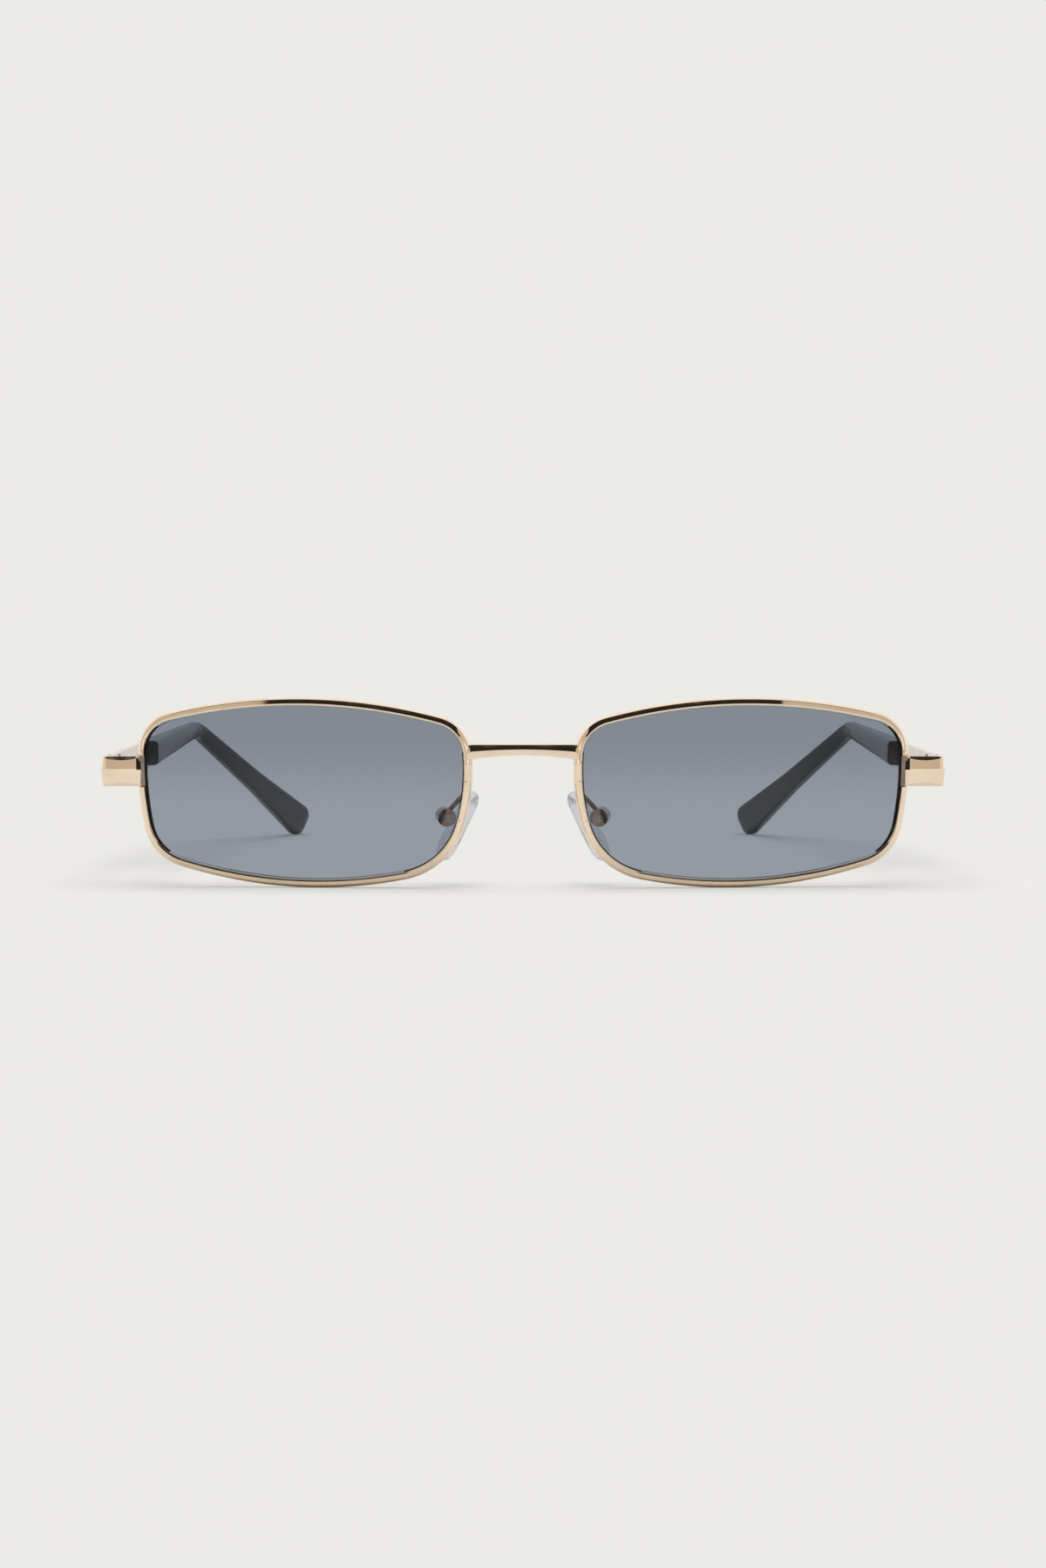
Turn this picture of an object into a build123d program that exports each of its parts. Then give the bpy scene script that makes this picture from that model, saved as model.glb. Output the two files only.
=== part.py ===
from build123d import *
import math
import os

os.makedirs("parts", exist_ok=True)

# Narrow rectangle sunglasses with thin metal rims, in millimetres. The wearer's right side is at -X,
# the temples run back along +Y and +Z is up. The origin is in the middle of the footprint, on the
# surface that the rims and the temple tips rest on. The right side is drawn, and the left side is
# its mirror image.

# The whole front
front_y = -66.78             # foremost line of the rims
bridge_gap = 17.05           # between the two rims at the bridge
wrap_angle = 4.0             # degrees that each rim turns back from the plane of the bridge
overrun = 1.0                # how far every cut runs past what it cuts

# Rim outline seen from the front: four shallow arcs that meet at rounded corners. The corners are
# placed as they would be before rounding, as shares of the width and of the height.
eye_width = 56.16            # nasal edge to temporal edge
eye_height = 31.86
top_temporal_shares = (-0.9943, 0.8792)
top_nasal_shares = (-0.0148, 0.8606)
bottom_nasal_shares = (-0.0780, 0.0942)
bottom_temporal_shares = (-0.9612, 0.1613)
top_bulge_share = 0.0734     # rise of the upper arc, of the width
nasal_bulge_share = 0.0719   # of the height
bottom_bulge_share = 0.0716  # of the width
temporal_bulge_share = 0.0374
top_temporal_radius = 6.6
top_nasal_radius = 6.9
bottom_nasal_radius = 12.9
bottom_temporal_radius = 8.8

# Rim section
rim_thickness = 1.36         # from the outer edge to the lens opening
rim_depth = 2.2              # front ridge to back
rim_bevel_drop = 0.42        # the front slopes back by this much towards the outer edge
rim_lip = 0.32               # chamfer round the lens opening
rim_edge_radius = 0.14
groove_middle = 1.2          # depth of the middle of the lens groove behind the ridge
groove_mouth = 1.3
groove_depth = 0.5
rim_split = 0.06             # the cut that lets the rim open for the lens

# Lens
lens_thickness = 1.6
lens_edge_slope = 0.62       # how far each face stands in from the crest of the edge
lens_clearance = 0.05

# Bridge
bridge_top = 24.25           # height of the upper edge above the surface
bridge_end_height = 2.75     # tallness where it meets the rims
bridge_middle_height = 1.95
bridge_depth = 2.0
bridge_lap = 0.75            # the ends lap over the front of the rims by this much
bridge_proud = 0.08          # front of the ends before the ridge of the rims
bridge_bow = 0.4             # the middle stands this far in front of the ends
bridge_facet_share = 0.42    # the upper front face takes this share of the height
bridge_facet_drop = 0.5      # it slopes back by this much towards the top
bridge_lower_drop = 0.25     # the lower front face slopes back by this much
bridge_edge_radius = 0.15
bridge_stations = 7

# Endpiece
endpiece_width = 6.07        # rim's temporal edge to the outer face
endpiece_height = 5.0
endpiece_thickness = 1.0
endpiece_setback = 0.2       # behind the rim's ridge at the temporal edge
endpiece_crown = 0.55        # the front face bows forward between the rim and the corner
endpiece_outer_radius = 1.3
endpiece_inner_radius = 0.4
endpiece_edge_radius = 0.25
endpiece_bevel = 0.65        # depth of the flat filed along the top and bottom of the bowed face
endpiece_reach = 6.6         # front face to the end that meets the temple
filed_flat_depth = 0.55      # how deep the rim's front is filed beside the endpiece

# Closing blocks and rim screw
block_width = 2.4
block_depth = 2.3
block_front = 1.35           # front of the blocks behind the rim's ridge
block_margin = 0.5           # blocks end this far inside the endpiece's top and bottom
block_gap = 0.12             # between the upper and the lower block
block_clearance = 0.04       # lower block to the endpiece in front of it
rim_screw_radius = 0.6
rim_screw_head_radius = 0.95
rim_screw_head_height = 0.5
thread_clearance = 0.04
slot_width = 0.25
slot_depth = 0.25

# Hinge
hinge_height = 19.42         # middle of the hinge above the surface
knuckle_radius = 1.2
knuckle_length = 1.25        # each of the two front knuckles
middle_knuckle_length = 1.5
knuckle_gap = 0.1
knuckle_wall_gap = 0.12      # knuckles to the temple's inner face
hinge_leaf_thickness = 0.8
hinge_leaf_length = 3.6
temple_leaf_length = 6.0
leaf_swing_gap = 0.3         # between a leaf's full height and the other half's knuckles
web_lap = 0.1                # each knuckle's web runs this far into its leaf
hinge_screw_radius = 0.7
hinge_screw_head_radius = 1.05
hinge_screw_head_height = 0.5
hinge_screw_tip_radius = 0.25
hinge_screw_tip_length = 0.5     # stands out over the top knuckle
pivot_clearance = 0.05
butt_gap = 0.12              # endpiece to temple when open

# Temple run: from the hinge to the bend and on to the tip, along the middle of the metal
bend_inset = 5.75            # the bend is this far in from the endpiece's outer face
bend_reach = 98.9            # behind the rims' foremost line
bend_height = 23.3
bend_radius = 7.1
tip_inset = 24.45
tip_reach = 133.3
tip_height = 1.95            # lets the tip rest on the surface
arm_thickness = 1.0
arm_height = 5.1
arm_edge_radius = 0.25
arm_visible_length = 35.8    # hinge to the front of the sleeve
arm_dip = 0.33               # the sleeve's front lies this far under the line from hinge to bend

# Sleeve and the metal core inside it
sleeve_front_thickness = 4.1
sleeve_bend_thickness = 2.5
sleeve_tip_thickness = 2.6
sleeve_front_height = 4.5
sleeve_bend_height = 3.05
sleeve_paddle_height = 4.15  # halfway from the bend to the tip
sleeve_tip_height = 6.8
sleeve_twist = 9.5           # degrees that the paddle's inner face turns down by the tip
sleeve_corner_radius = 0.85
sleeve_mouth_round = 0.3
sleeve_tip_round = 2.8       # corners of the tip seen from the side
sleeve_tip_flat_round = 0.7  # and seen from above
sleeve_end_corner = 0.4
loft_step = 4.0              # spacing of the sections along the run
end_shares = (0, 0.3, 0.6, 0.8, 0.93, 1)
core_thickness = 0.9
core_height = 1.6
core_corner_radius = 0.2
core_end_margin = 9.0        # the core ends this far before the tip
core_clearance = 0.05

# Nose pad, box, screw and arm
pad_outset = 2.5             # middle of the pad out from the rim's nasal edge
pad_reach = 8.4              # middle of the pad behind the rims' foremost line
pad_middle_height = 10.0
pad_stem_rise = 0.55         # the stem stands this far above the middle of the pad
pad_tilt = 27.0              # degrees: the top leans towards the nose
pad_splay = 15.0             # degrees: the back edge stands away from the nose
pad_length = 12.8
pad_upper_radius = 3.0
pad_lower_radius = 3.6
pad_thickness = 1.8
pad_edge_radius = 0.8
pad_stem_radius = 0.8
pad_stem_thickness = 1.2
pad_screw_radius = 0.4
pad_screw_head_radius = 0.7
pad_screw_head_height = 0.3
pad_box_radius = 1.55
pad_box_cheek = 0.45
pad_box_play = 0.12          # stem to each cheek
pad_box_standoff = 0.15      # cheeks to the back of the pad
pad_box_pocket_gap = 0.2     # round the end of the stem
pad_box_mouth_half = 1.15    # the pocket's opening towards the pad, wide enough for the stem to rock
pad_arm_radius = 0.45
pad_arm_root_height = 14.9
pad_arm_root_inset = 0.88    # root inside the rim's outer edge
pad_arm_sink = 0.25          # the wire starts this deep in the back of the rim and is trimmed to it
pad_arm_bend_radius = 1.6
pad_arm_reach = 3.6          # how far the wire runs back from the rim before it turns
pad_arm_lift = 0.4           # and how far it climbs meanwhile
pad_arm_spread = 0.8         # and moves away from the nose
pad_arm_hold = 1.1           # the wire ends this far above the middle of the box

arc_shares = (0, 0.5, 1)     # start, middle and end of an arc
UP = Vector(0, 0, 1)
BACK = Vector(0, 1, 0)
turned = math.radians(wrap_angle)


def save(piece, name):
    piece.part.label = name
    export_step(piece.part, "parts/" + name + ".step")


def save_pair(piece, name):
    """Write the right-hand piece and its mirror image on the left."""
    with BuildPart() as twin:
        mirror(piece.part, about=Plane.YZ)
    save(piece, "right_" + name)
    save(twin, "left_" + name)


def slotted_screw(seat, shank_radius, shank_length, head_radius, head_height):
    """A screw whose head stands on the seat plane and whose shank runs down from it."""
    with BuildPart() as screw:
        with BuildSketch(seat):
            Circle(head_radius)
        extrude(amount=head_height)
        with BuildSketch(seat):
            Circle(shank_radius)
        extrude(amount=-shank_length)
        with BuildSketch(seat.offset(head_height)):
            Rectangle(2 * head_radius + overrun, slot_width)
        extrude(amount=-slot_depth, mode=Mode.SUBTRACT)
    return screw


def eye_outline(inset):
    """The rim's outer line as a face, drawn in by inset."""
    corner_shares = (top_temporal_shares, top_nasal_shares, bottom_nasal_shares, bottom_temporal_shares)
    corners = [(across * eye_width, up * eye_height) for across, up in corner_shares]
    bulges = (
        top_bulge_share * eye_width,
        nasal_bulge_share * eye_height,
        bottom_bulge_share * eye_width,
        temporal_bulge_share * eye_height,
    )
    radii = (top_temporal_radius, top_nasal_radius, bottom_nasal_radius, bottom_temporal_radius)
    with BuildSketch() as outline:
        with BuildLine():
            for index, bulge in enumerate(bulges):
                SagittaArc(corners[index], corners[(index + 1) % len(corners)], bulge)
        make_face()
        for corner, radius in zip(corners, radii):
            fillet(outline.vertices().sort_by_distance(Vector(*corner))[0], radius)
    arcs = outline.face().outer_wire().edges()
    middle = outline.face().center()
    with BuildSketch() as inner:
        with BuildLine():
            for arc in arcs:
                points = [arc @ share for share in arc_shares]
                normals = [(arc % share).cross(UP) for share in arc_shares]
                way = math.copysign(inset, normals[1].dot(middle - points[1]))
                ThreePointArc(*[point + normal * way for point, normal in zip(points, normals)])
        make_face()
    return inner.sketch


# Plane of the right rim: x runs towards the nose, y is up, and the normal faces forward. Its origin
# puts the rim's nasal edge beside the bridge and its lowest point on the surface.
eye_box = eye_outline(0).bounding_box()
eye_nasal = eye_box.max.X
eye_temporal = eye_box.min.X
eye_bottom = eye_box.min.Y
eye_plane = Plane(
    origin=(-bridge_gap / 2 - eye_nasal, front_y, -eye_bottom),
    x_dir=(math.cos(turned), -math.sin(turned), 0),
    z_dir=(-math.sin(turned), -math.cos(turned), 0),
)

# Rim: the section runs once round the outer line, then the rim is filed flat beside the endpiece
# and split behind it.
with BuildSketch(eye_plane) as right_eye:
    add(eye_outline(0))
rim_line = right_eye.sketch.face().outer_wire()
rim_start = rim_line @ 0
rim_along = rim_line % 0
rim_outward = rim_along.cross(eye_plane.z_dir)
rim_section_plane = Plane(
    origin=rim_start, x_dir=rim_outward, z_dir=eye_plane.z_dir.cross(rim_outward)
)
endpiece_bottom = hinge_height - endpiece_height / 2
endpiece_top = hinge_height + endpiece_height / 2

with BuildPart() as right_rim:
    with BuildSketch(rim_section_plane) as rim_section:
        with BuildLine():
            Polyline(
                (-rim_thickness + rim_lip, 0),
                (0, rim_bevel_drop),
                (0, rim_depth),
                (-rim_thickness, rim_depth),
                (-rim_thickness, groove_middle + groove_mouth / 2),
                (-rim_thickness + groove_depth, groove_middle),
                (-rim_thickness, groove_middle - groove_mouth / 2),
                (-rim_thickness, rim_lip),
                close=True,
            )
        make_face()
        fillet(rim_section.vertices().group_by(Axis(rim_start, rim_outward))[-1], rim_edge_radius)
    sweep(path=rim_line)
    with BuildSketch(eye_plane.offset(overrun)):
        with Locations((eye_temporal, hinge_height + eye_bottom)):
            Rectangle(2 * (rim_thickness + overrun), endpiece_height)
    extrude(amount=-(overrun + filed_flat_depth), mode=Mode.SUBTRACT)
    with BuildSketch(eye_plane.offset(overrun)):
        with Locations((eye_temporal, hinge_height + eye_bottom)):
            Rectangle(2 * (rim_thickness + overrun), rim_split)
    extrude(amount=-(rim_depth + 2 * overrun), mode=Mode.SUBTRACT)
save_pair(right_rim, "rim")

# Lens: two faces set in from a sharp crest that sits in the rim's groove.
crest_inset = rim_thickness - groove_depth + lens_clearance
face_inset = crest_inset + lens_edge_slope
lens_steps = (
    (groove_middle - lens_thickness / 2, face_inset),
    (groove_middle, crest_inset),
    (groove_middle + lens_thickness / 2, face_inset),
)
with BuildPart() as right_lens:
    for depth, inset in lens_steps:
        with BuildSketch(eye_plane.offset(-depth)):
            add(eye_outline(inset))
    loft(ruled=True)
save_pair(right_lens, "lens")

# Bridge: a bar with an upper and a lower front face, arched underneath and bowed forward. Its ends
# lap over the fronts of the rims that they are soldered to.
bridge_half = bridge_gap / 2 + bridge_lap
with BuildPart() as bridge:
    for station in range(bridge_stations):
        across = 2 * station / (bridge_stations - 1) - 1
        height = bridge_middle_height + (bridge_end_height - bridge_middle_height) * across**2
        front = front_y - bridge_proud - bridge_bow * (1 - across**2)
        back = front_y - bridge_proud + bridge_depth - bridge_bow / 2 * (1 - across**2)
        ridge = bridge_top - bridge_facet_share * height
        with BuildSketch(Plane.YZ.offset(across * bridge_half)) as bar_section:
            with BuildLine():
                Polyline(
                    (front + bridge_facet_drop, bridge_top),
                    (back, bridge_top),
                    (back, bridge_top - height),
                    (front + bridge_lower_drop, bridge_top - height),
                    (front, ridge),
                    close=True,
                )
            make_face()
            fillet(bar_section.vertices().group_by(Axis.Y)[-1], bridge_edge_radius)
    loft()
    add(right_rim.part, mode=Mode.SUBTRACT)
    mirror(right_rim.part, about=Plane.YZ, mode=Mode.SUBTRACT)
save(bridge, "bridge")

# Endpiece: a strip seen from above as a bowed front, a rounded corner and a straight side. Flats
# filed along its top and bottom edges are widest where the front bows out most.
temporal_edge = eye_plane.from_local_coords((eye_temporal, 0, 0))
endpiece_half_width = endpiece_width - temporal_edge.X
endpiece_front = temporal_edge.Y + endpiece_setback
endpiece_back = endpiece_front + endpiece_thickness
endpiece_root = temporal_edge.X + rim_thickness / 2
hinge_y = endpiece_front + endpiece_reach
side_inner = endpiece_half_width - endpiece_thickness
side_end = hinge_y - butt_gap / 2
with BuildPart() as right_endpiece:
    with BuildSketch(Plane.XY.offset(endpiece_bottom)) as strip:
        with BuildLine():
            ThreePointArc(
                (endpiece_root, endpiece_front),
                ((endpiece_root - endpiece_half_width) / 2, endpiece_front - endpiece_crown),
                (-endpiece_half_width, endpiece_front),
            )
            Polyline(
                (-endpiece_half_width, endpiece_front),
                (-endpiece_half_width, side_end),
                (-side_inner, side_end),
                (-side_inner, endpiece_back),
                (endpiece_root, endpiece_back),
                (endpiece_root, endpiece_front),
            )
        make_face()
        outer_corner = Vector(-endpiece_half_width, endpiece_front)
        fillet(strip.vertices().sort_by_distance(outer_corner)[0], endpiece_outer_radius)
        inner_corner = Vector(-side_inner, endpiece_back)
        fillet(strip.vertices().sort_by_distance(inner_corner)[0], endpiece_inner_radius)
    extrude(amount=endpiece_height)
    edge_rings = right_endpiece.edges().group_by(Axis.Z)
    fillet(edge_rings[0] + edge_rings[-1], endpiece_edge_radius)
    crown_front = endpiece_front - endpiece_crown
    filed = endpiece_bevel + overrun
    with BuildSketch(Plane.YZ.offset(-endpiece_half_width - overrun)):
        for edge, way in ((endpiece_top, 1), (endpiece_bottom, -1)):
            with BuildLine():
                Polyline(
                    (crown_front - overrun, edge - way * filed),
                    (crown_front + filed, edge + way * overrun),
                    (crown_front - overrun, edge + way * overrun),
                    close=True,
                )
            make_face()
    extrude(amount=endpiece_half_width + endpiece_root + 2 * overrun, mode=Mode.SUBTRACT)
    add(right_rim.part, mode=Mode.SUBTRACT)
save_pair(right_endpiece, "endpiece")

# Closing blocks: soldered to the two ends of the split rim, behind the endpiece, and drawn together
# by a screw from below. The upper one also carries the endpiece.
block_lap = rim_thickness / 2
block_middle_u = eye_temporal - block_width / 2
block_middle_depth = block_front + block_depth / 2
screw_point = eye_plane.from_local_coords((block_middle_u, 0, -block_middle_depth))
upper_block_top = endpiece_top - block_margin
lower_block_bottom = endpiece_bottom + block_margin


def closing_block(bottom, top, front):
    """A block on the rim's temporal side with the hole for the rim screw."""
    with BuildPart() as block:
        with BuildSketch(eye_plane.offset(-front)):
            with Locations((block_middle_u + block_lap / 2, (bottom + top) / 2 + eye_bottom)):
                Rectangle(block_width + block_lap, top - bottom)
        extrude(amount=front - block_front - block_depth)
        with BuildSketch(Plane((screw_point.X, screw_point.Y, bottom - overrun))):
            Circle(rim_screw_radius + thread_clearance)
        extrude(amount=top - bottom + 2 * overrun, mode=Mode.SUBTRACT)
        add(right_rim.part, mode=Mode.SUBTRACT)
        add(right_endpiece.part, mode=Mode.SUBTRACT)
    return block


upper_block = closing_block(hinge_height + block_gap / 2, upper_block_top, block_front)
lower_block = closing_block(
    lower_block_bottom, hinge_height - block_gap / 2, block_front + block_clearance
)
save_pair(upper_block, "closing_block_upper")
save_pair(lower_block, "closing_block_lower")
rim_screw_seat = Plane((screw_point.X, screw_point.Y, lower_block_bottom), z_dir=(0, 0, -1))
rim_screw = slotted_screw(
    rim_screw_seat,
    rim_screw_radius,
    upper_block_top - lower_block_bottom,
    rim_screw_head_radius,
    rim_screw_head_height,
)
save_pair(rim_screw, "rim_screw")

# Temple run: nearly straight back from the hinge, one bend over the ear, then straight to the tip.
arm_middle = endpiece_half_width - arm_thickness / 2
temple_front = Vector(-arm_middle, hinge_y + butt_gap / 2, hinge_height)
temple_bend = Vector(-(endpiece_half_width - bend_inset), front_y + bend_reach, bend_height)
temple_end = Vector(-(endpiece_half_width - tip_inset), front_y + tip_reach, tip_height)
straight_leg = temple_bend - temple_front
temple_middle = temple_front + straight_leg.normalized() * arm_visible_length - UP * arm_dip
sleeve_leg = temple_bend - temple_middle
with BuildLine() as temple_line:
    FilletPolyline(temple_front, temple_middle, temple_bend, temple_end, radius=bend_radius)
temple_run = temple_line.wire()
sleeve_start = (temple_middle - temple_front).length
bend_turn = math.radians(sleeve_leg.get_angle(temple_end - temple_bend))
bend_start = sleeve_start + sleeve_leg.length - bend_radius * math.tan(bend_turn / 2)
bend_stop = bend_start + bend_radius * bend_turn
run_length = temple_run.length


def temple_section(station, thickness, height, corner):
    """A rounded rectangle square to the temple's run. Past the bend it twists steadily to the tip."""
    here = temple_run.position_at(station, position_mode=PositionMode.LENGTH)
    along = temple_run.tangent_at(station, position_mode=PositionMode.LENGTH)
    twist = math.radians(sleeve_twist) * max(0, station - bend_stop) / (run_length - bend_stop)
    level = along.cross(UP).normalized()
    inward = level * math.cos(twist) + level.cross(along) * -math.sin(twist)
    with BuildSketch(Plane(origin=here, x_dir=inward, z_dir=along)) as section:
        RectangleRounded(thickness, height, corner)
    return section.sketch


def between(stations, values, station):
    """The value at a station, on straight lines between the given ones."""
    for index in range(len(stations) - 1):
        if station <= stations[index + 1]:
            share = (station - stations[index]) / (stations[index + 1] - stations[index])
            return values[index] + share * (values[index + 1] - values[index])
    return values[-1]


def run_stations(first, last):
    """Evenly spaced stations from first to last."""
    count = math.ceil((last - first) / loft_step)
    return [first + (last - first) * index / count for index in range(count + 1)]


def core_loft(first, last, clearance):
    """The core's shape between two stations, grown by clearance on every side."""
    size = (core_thickness + 2 * clearance, core_height + 2 * clearance)
    corner = core_corner_radius + clearance
    loft([temple_section(station, *size, corner) for station in run_stations(first, last)])


# Metal arm, and its core that runs on inside the sleeve
core_end = run_length - core_end_margin
arm_ends = (0, sleeve_start)
with BuildPart() as right_temple_arm:
    loft([temple_section(station, arm_thickness, arm_height, arm_edge_radius) for station in arm_ends])
    core_loft(sleeve_start - arm_thickness, core_end, 0)
save_pair(right_temple_arm, "temple_arm")

# Sleeve: thinnest at the bend and deepest at the tip, with a rounded mouth and end and a pocket for
# the core
paddle_middle = (bend_stop + run_length) / 2
height_stations = (sleeve_start, bend_start, bend_stop, paddle_middle, run_length)
heights = (
    sleeve_front_height,
    sleeve_bend_height,
    sleeve_bend_height,
    sleeve_paddle_height,
    sleeve_tip_height,
)
thickness_stations = (sleeve_start, bend_start, run_length)
thicknesses = (sleeve_front_thickness, sleeve_bend_thickness, sleeve_tip_thickness)


def sleeve_section(station, corner, trim_height, trim_thickness):
    """The sleeve's section at a station, with its height and thickness trimmed on each side."""
    height = between(height_stations, heights, station) - 2 * trim_height
    thickness = between(thickness_stations, thicknesses, station) - 2 * trim_thickness
    return temple_section(station, thickness, height, corner)


mouth_end = sleeve_start + sleeve_mouth_round
round_start = run_length - sleeve_tip_round
end_sections = []
for share in end_shares:
    curve = 1 - math.sqrt(1 - share**2)
    corner = sleeve_corner_radius - (sleeve_corner_radius - sleeve_end_corner) * curve
    trim_height = sleeve_tip_round * curve
    trim_thickness = sleeve_tip_flat_round * curve
    station = round_start + share * sleeve_tip_round
    end_sections.append(sleeve_section(station, corner, trim_height, trim_thickness))
with BuildPart() as right_temple_sleeve:
    mouth = sleeve_section(
        sleeve_start,
        sleeve_corner_radius - sleeve_mouth_round,
        sleeve_mouth_round,
        sleeve_mouth_round,
    )
    loft([mouth, sleeve_section(mouth_end, sleeve_corner_radius, 0, 0)])
    body_stations = run_stations(mouth_end, round_start)
    loft([sleeve_section(station, sleeve_corner_radius, 0, 0) for station in body_stations])
    loft(end_sections)
with BuildPart() as core_pocket:
    core_loft(sleeve_start - overrun, core_end + core_clearance, core_clearance)
with BuildPart() as right_sleeve:
    add(right_temple_sleeve.part)
    add(core_pocket.part, mode=Mode.SUBTRACT)
save_pair(right_sleeve, "temple_sleeve")

# Hinge: two knuckles inside the endpiece and one on the temple, each on a leaf that lies flat on the
# metal behind it, and a screw up through all three with a fine tip.
hinge_x = -(side_inner - knuckle_wall_gap - knuckle_radius)
knuckle_stack = middle_knuckle_length + 2 * knuckle_gap + 2 * knuckle_length
stack_bottom = hinge_height - knuckle_stack / 2
middle_bottom = hinge_height - middle_knuckle_length / 2
leaf_inner = side_inner - hinge_leaf_thickness
web_outer = side_inner - knuckle_wall_gap
swing_radius = knuckle_radius + leaf_swing_gap
front_leaf_end = hinge_y - swing_radius
temple_leaf_start = hinge_y + swing_radius


def knuckle(bottom, length):
    """One barrel of the hinge, added to the piece being made."""
    with BuildSketch(Plane((hinge_x, hinge_y, bottom))) as barrel:
        Circle(knuckle_radius)
    extrude(barrel.sketch, amount=length)


def leaf(bottom, height, near_y, far_y, outer):
    """A flat leaf, added to the piece being made."""
    with BuildSketch(Plane.XY.offset(bottom)) as flat:
        with BuildLine():
            Polyline(
                (-outer, near_y),
                (-outer, far_y),
                (-leaf_inner, far_y),
                (-leaf_inner, near_y),
                close=True,
            )
        make_face()
    extrude(flat.sketch, amount=height)


with BuildPart() as right_front_hinge:
    leaf(stack_bottom, knuckle_stack, front_leaf_end - hinge_leaf_length, front_leaf_end, side_inner)
    for bottom in (stack_bottom, stack_bottom + knuckle_stack - knuckle_length):
        leaf(bottom, knuckle_length, front_leaf_end - web_lap, hinge_y, web_outer)
        knuckle(bottom, knuckle_length)
    with BuildSketch(Plane((hinge_x, hinge_y, stack_bottom - overrun))):
        Circle(hinge_screw_radius + thread_clearance)
    extrude(amount=knuckle_stack + 2 * overrun, mode=Mode.SUBTRACT)
save_pair(right_front_hinge, "front_hinge")

temple_leaf_end = temple_leaf_start + temple_leaf_length
with BuildPart() as right_temple_hinge:
    leaf(stack_bottom, knuckle_stack, temple_leaf_start, temple_leaf_end, arm_middle)
    leaf(middle_bottom, middle_knuckle_length, hinge_y, temple_leaf_start + web_lap, web_outer)
    add(right_temple_arm.part, mode=Mode.SUBTRACT)
    knuckle(middle_bottom, middle_knuckle_length)
    with BuildSketch(Plane((hinge_x, hinge_y, middle_bottom - overrun))):
        Circle(hinge_screw_radius + pivot_clearance)
    extrude(amount=middle_knuckle_length + 2 * overrun, mode=Mode.SUBTRACT)
save_pair(right_temple_hinge, "temple_hinge")

hinge_screw_seat = Plane((hinge_x, hinge_y, stack_bottom), z_dir=(0, 0, -1))
hinge_screw = slotted_screw(
    hinge_screw_seat,
    hinge_screw_radius,
    knuckle_stack,
    hinge_screw_head_radius,
    hinge_screw_head_height,
)
with BuildPart() as tipped_hinge_screw:
    add(hinge_screw.part)
    with BuildSketch(Plane((hinge_x, hinge_y, stack_bottom + knuckle_stack))):
        Circle(hinge_screw_tip_radius)
    extrude(amount=hinge_screw_tip_length)
save_pair(tipped_hinge_screw, "hinge_screw")

# Nose pad: a frame of its own, with x along the pad's width, y up its length and z towards the nose.
tilt = math.radians(pad_tilt)
splay = math.radians(pad_splay)
pad_up = Vector(math.sin(tilt), 0, math.cos(tilt))
pad_flat = Vector(math.cos(tilt), 0, -math.sin(tilt))
pad_normal = pad_flat * math.cos(splay) + BACK * math.sin(splay)
pad_width_axis = pad_up.cross(pad_normal)
pad_middle = Vector(-bridge_gap / 2 - pad_outset, front_y + pad_reach, pad_middle_height)
pad_plane = Plane(pad_middle, x_dir=pad_width_axis, z_dir=pad_normal)
stem_drop = pad_box_radius + pad_box_standoff
stem_length = stem_drop + pad_thickness / 2
upper_centre = pad_length / 2 - pad_upper_radius
lower_centre = pad_length / 2 - pad_lower_radius
pivot = pad_middle + pad_up * pad_stem_rise - pad_normal * stem_length
pivot_plane = Plane(pivot, x_dir=pad_normal, z_dir=pad_width_axis)
stem_top = pad_stem_thickness / 2
box_half = stem_top + pad_box_play + pad_box_cheek

with BuildPart() as right_nose_pad:
    with BuildSketch(pad_plane.offset(-pad_thickness / 2)):
        with Locations((0, upper_centre)):
            Circle(pad_upper_radius)
        with Locations((0, -lower_centre)):
            Circle(pad_lower_radius)
        make_hull()
    extrude(amount=pad_thickness)
    fillet(right_nose_pad.edges(), pad_edge_radius)
    with BuildSketch(pivot_plane.offset(-stem_top)):
        Circle(pad_stem_radius)
        with Locations((stem_length / 2, 0)):
            Rectangle(stem_length, 2 * pad_stem_radius)
    extrude(amount=pad_stem_thickness)
    with BuildSketch(pivot_plane.offset(-stem_top - overrun)):
        Circle(pad_screw_radius + pivot_clearance)
    extrude(amount=pad_stem_thickness + 2 * overrun, mode=Mode.SUBTRACT)
save_pair(right_nose_pad, "nose_pad")

# Pad box: a small round box, open towards the pad, with two cheeks that the screw passes through
with BuildPart() as right_pad_box:
    with BuildSketch(pivot_plane.offset(-box_half)):
        Circle(pad_box_radius)
    extrude(amount=2 * box_half)
    with BuildSketch(pivot_plane.offset(-stem_top - pad_box_play)):
        Circle(pad_stem_radius + pad_box_pocket_gap)
        with Locations((pad_box_radius, 0)):
            Rectangle(2 * pad_box_radius, 2 * pad_box_mouth_half)
    extrude(amount=2 * (stem_top + pad_box_play), mode=Mode.SUBTRACT)
    with BuildSketch(pivot_plane.offset(-box_half - overrun)):
        Circle(pad_screw_radius + thread_clearance)
    extrude(amount=2 * (box_half + overrun), mode=Mode.SUBTRACT)
save_pair(right_pad_box, "pad_box")

pad_screw = slotted_screw(
    Plane(pivot - pad_width_axis * box_half, z_dir=-pad_width_axis),
    pad_screw_radius,
    2 * box_half,
    pad_screw_head_radius,
    pad_screw_head_height,
)
save_pair(pad_screw, "pad_screw")

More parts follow.
